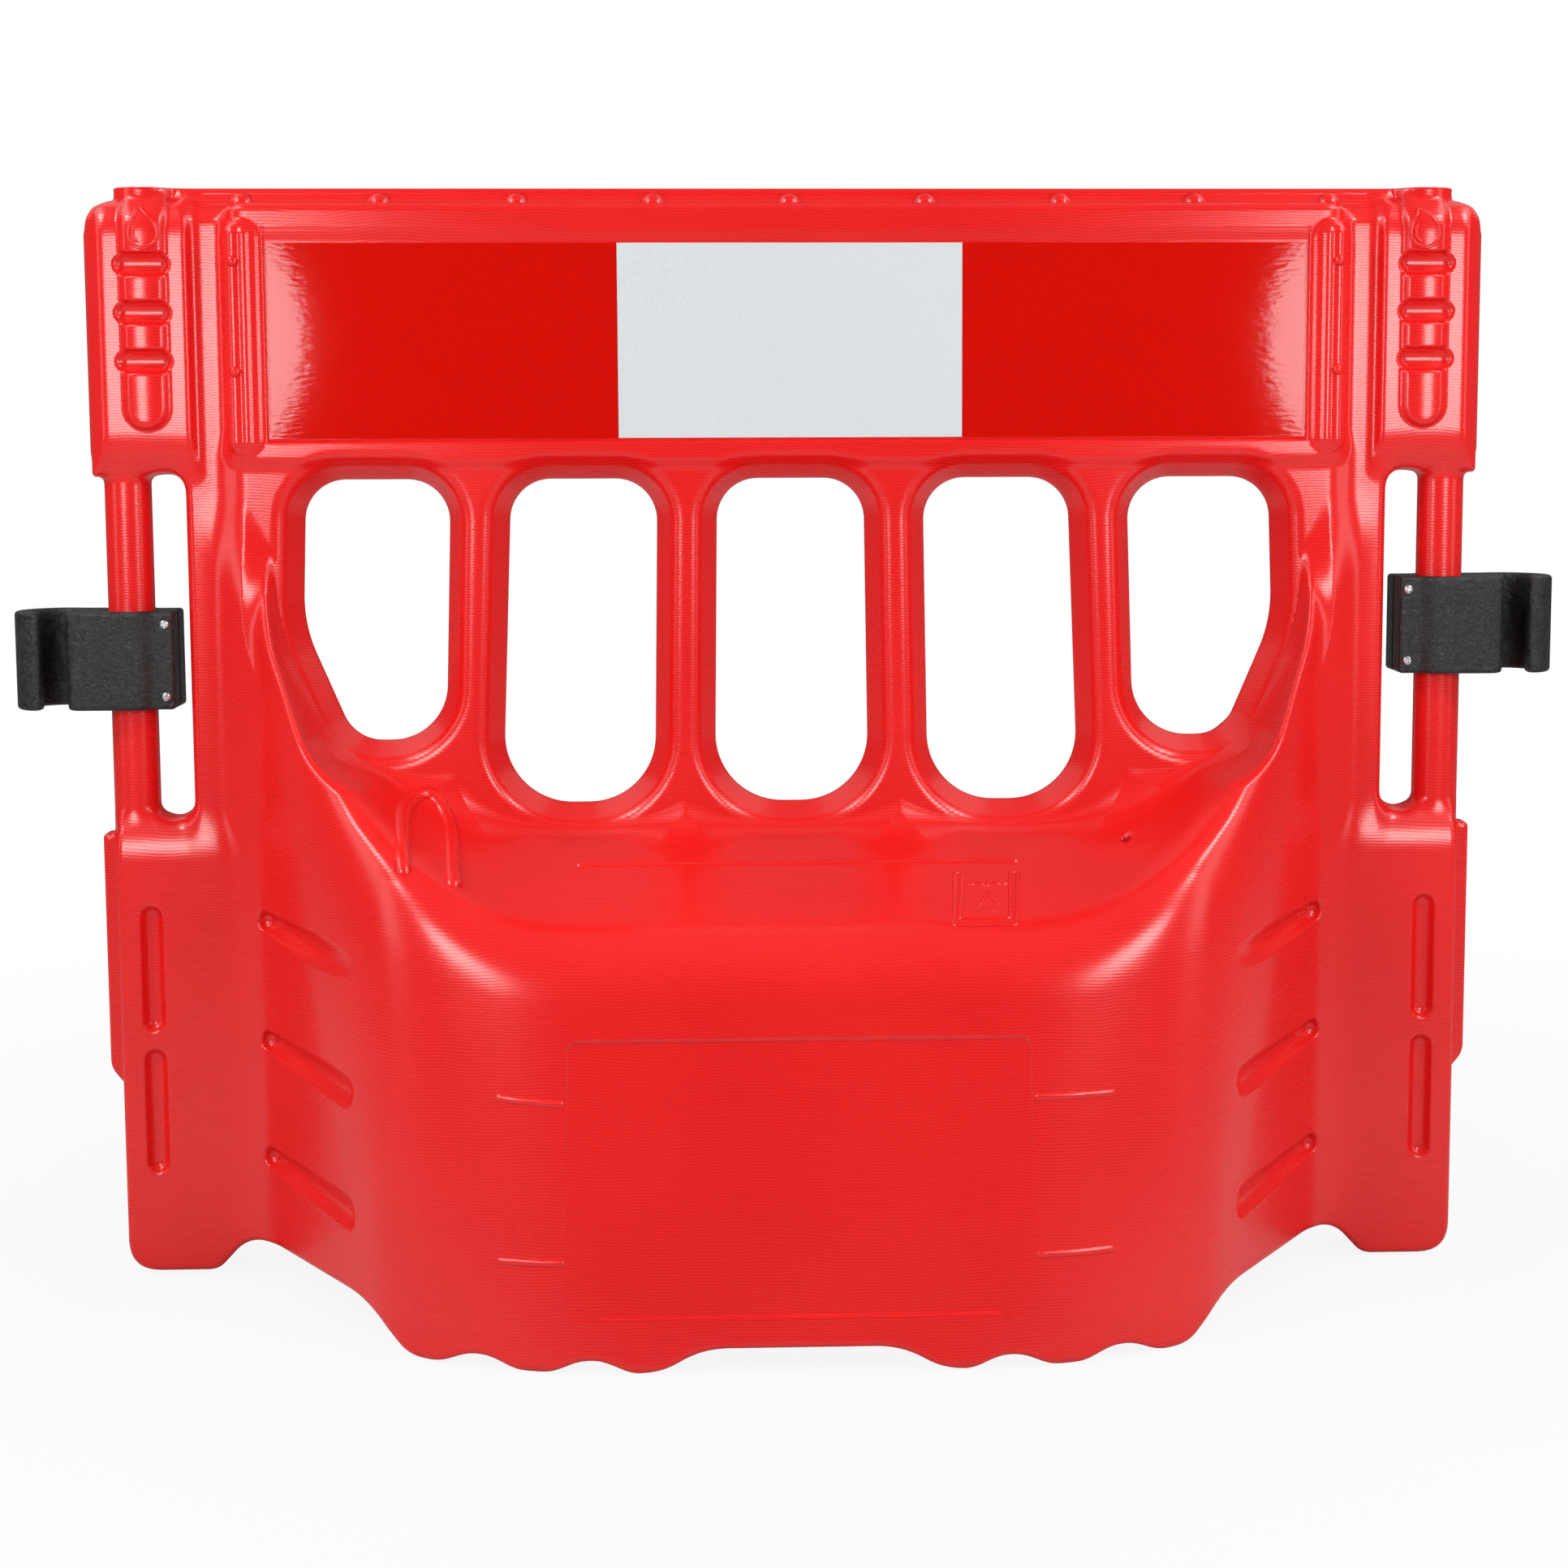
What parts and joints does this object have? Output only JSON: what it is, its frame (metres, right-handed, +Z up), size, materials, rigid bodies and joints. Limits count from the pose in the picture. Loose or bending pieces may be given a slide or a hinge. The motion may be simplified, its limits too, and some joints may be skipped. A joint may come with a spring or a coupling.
{
  "type": "pedestrian barrier panel",
  "caption": "Red hollow plastic barrier panel on a broad water-filled foot, with a windowed upper part, reflective sheets on both faces and a swivelling hook connector at each end.",
  "frame": {"origin": "on the ground, under the middle of the barrier", "axes": "+X along the barrier to the right as seen from the front, the front faces -Y, +Z up"},
  "size_m": [1.424, 0.664, 1],
  "materials": {
    "red_hdpe": "satin blow-moulded polyethylene, dyed red through",
    "red_sheet": "red reflective sheet",
    "white_sheet": "white reflective sheet",
    "black_rubber": "grained moulded rubber",
    "zinc_steel": "bright zinc plate"
  },
  "bodies": {
    "barrier": {"barrier_body": "red_hdpe", "front_sheet_left_red": "red_sheet", "front_sheet_white": "white_sheet", "front_sheet_right_red": "red_sheet", "rear_sheet_left_red": "red_sheet", "rear_sheet_white": "white_sheet", "rear_sheet_right_red": "red_sheet"},
    "left_hook_connector": {"left_connector": "black_rubber", "left_upper_screw": "zinc_steel", "left_lower_screw": "zinc_steel", "left_upper_nut": "zinc_steel", "left_lower_nut": "zinc_steel"},
    "right_hook_connector": {"right_connector": "black_rubber", "right_upper_screw": "zinc_steel", "right_lower_screw": "zinc_steel", "right_upper_nut": "zinc_steel", "right_lower_nut": "zinc_steel"}
  },
  "joints": [
    {"name": "left_connector_swivel", "type": "hinge", "parent": "barrier", "child": "left_hook_connector", "pos_m": [-0.606, 0, 0.574], "axis": [0, 0, 1], "range_deg": [-105, 105]},
    {"name": "right_connector_swivel", "type": "hinge", "parent": "barrier", "child": "right_hook_connector", "pos_m": [0.606, 0, 0.6], "axis": [0, 0, 1], "range_deg": [-105, 105]}
  ]
}
